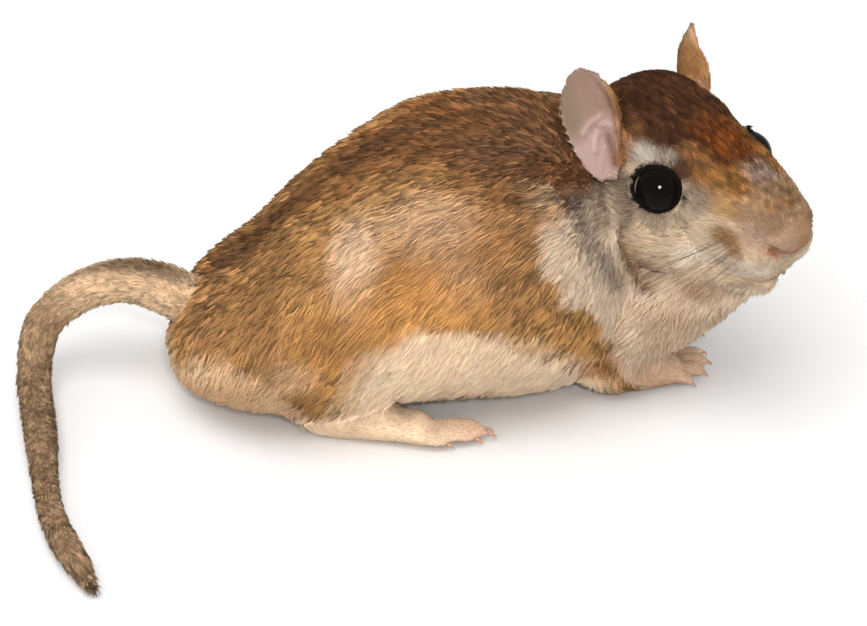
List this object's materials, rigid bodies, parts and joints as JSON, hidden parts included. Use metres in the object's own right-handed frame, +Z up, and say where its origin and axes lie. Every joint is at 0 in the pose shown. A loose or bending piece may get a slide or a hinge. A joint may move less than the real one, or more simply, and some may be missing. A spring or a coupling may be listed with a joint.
{
  "type": "gerbil model",
  "caption": "Life-size still model of a tamarisk gerbil crouching with its head turned aside and its tufted tail laid along the floor.",
  "frame": {"origin": "centre of the bottom of the whole animal's box, on the floor under it", "axes": "+X from the rump towards the front of the body, +Y to the animal's left, +Z up; the head is turned towards -Y"},
  "size_m": [0.1294, 0.0888, 0.0589],
  "materials": {
    "fur_brown": "short dense fur, rufous brown with dark ticks",
    "fur_ochre": "long fur, sandy brown with dark ticks",
    "fur_cream": "soft cream fur",
    "fur_tuft": "dark brown tail hair",
    "foot_skin": "very short cream fur over pinkish skin",
    "ear_skin": "thin matt skin with fine hairs",
    "nose_skin": "bare, slightly moist pinkish skin",
    "eye": "wet and glossy, nearly black"
  },
  "bodies": {
    "root": {"head": "fur_brown", "trunk": "fur_ochre", "rump": "fur_ochre", "neck": "fur_ochre", "thigh_left": "fur_ochre", "thigh_right": "fur_ochre", "upper_arm_left": "fur_ochre", "upper_arm_right": "fur_ochre", "tail_root": "fur_ochre", "tail_arch": "fur_ochre", "tail_floor": "fur_ochre", "chest": "fur_cream", "lower_jaw": "fur_cream", "tail_tuft": "fur_tuft", "fore_foot_left": "foot_skin", "fore_foot_right": "foot_skin", "hind_foot_left": "foot_skin", "hind_foot_right": "foot_skin", "ear_left": "ear_skin", "ear_right": "ear_skin", "nose": "nose_skin", "eye_left": "eye", "eye_right": "eye"}
  },
  "joints": []
}
